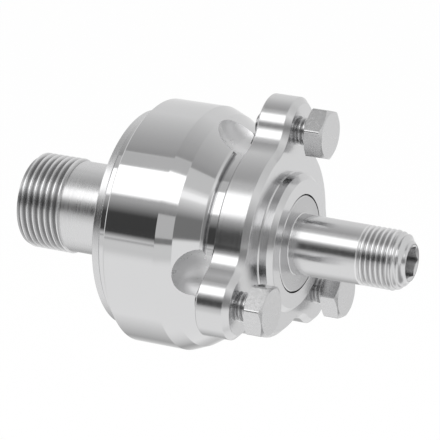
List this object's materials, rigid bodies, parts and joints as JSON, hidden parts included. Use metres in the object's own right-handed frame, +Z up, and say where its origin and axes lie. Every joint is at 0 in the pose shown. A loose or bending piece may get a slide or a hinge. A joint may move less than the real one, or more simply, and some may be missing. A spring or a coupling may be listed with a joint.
{
  "type": "swivel joint",
  "caption": "Rotary joint for a pressure line: a turned drum with a lobed bolting flange, a threaded inlet neck and a threaded outlet shaft that spins in ball bearings.",
  "frame": {"origin": "centre of the flange's front mounting face, on the spin axis", "axes": "+X along the spin axis towards the outlet shaft, +Z up, the inlet thread faces -X"},
  "size_m": [0.1405, 0.0894, 0.089],
  "materials": {
    "turned_steel": "turned stainless steel",
    "polished_steel": "polished stainless steel",
    "bearing_steel": "ground",
    "brass": "turned",
    "rubber": "matt",
    "carbon": "lapped carbon",
    "backup_plastic": "matt"
  },
  "bodies": {
    "housing_body": {"housing": "turned_steel", "inlet_cap": "turned_steel", "cap_o_ring": "rubber", "flange_bolts": "polished_steel", "front_outer_ring": "bearing_steel", "rear_outer_ring": "bearing_steel", "bearing_circlip": "bearing_steel", "shaft_seal": "rubber", "seal_ring": "carbon", "seal_o_ring": "rubber", "backup_ring": "backup_plastic", "spring_washer": "turned_steel", "seal_spring": "bearing_steel"},
    "rotor": {"rotor_shaft": "polished_steel", "front_inner_ring": "bearing_steel", "rear_inner_ring": "bearing_steel", "inner_spacer": "turned_steel", "lock_washer": "bearing_steel", "lock_nut": "bearing_steel", "rotating_seat": "bearing_steel"},
    "front_ball_set": {"front_balls": "polished_steel", "front_cage": "brass"},
    "rear_ball_set": {"rear_balls": "polished_steel", "rear_cage": "brass"}
  },
  "joints": [
    {"name": "outlet_spin", "type": "hinge", "parent": "housing_body", "child": "rotor", "pos_m": [0, 0, 0], "axis": [1, 0, 0], "continuous": true},
    {"name": "front_ball_spin", "type": "hinge", "parent": "housing_body", "child": "front_ball_set", "pos_m": [-0.0125, 0, 0], "axis": [1, 0, 0], "continuous": true},
    {"name": "rear_ball_spin", "type": "hinge", "parent": "housing_body", "child": "rear_ball_set", "pos_m": [-0.0335, 0, 0], "axis": [1, 0, 0], "continuous": true}
  ],
  "couplings": [
    {"joint": "front_ball_spin", "follows": "outlet_spin", "ratio": 0.3974},
    {"joint": "rear_ball_spin", "follows": "outlet_spin", "ratio": 0.3678}
  ]
}
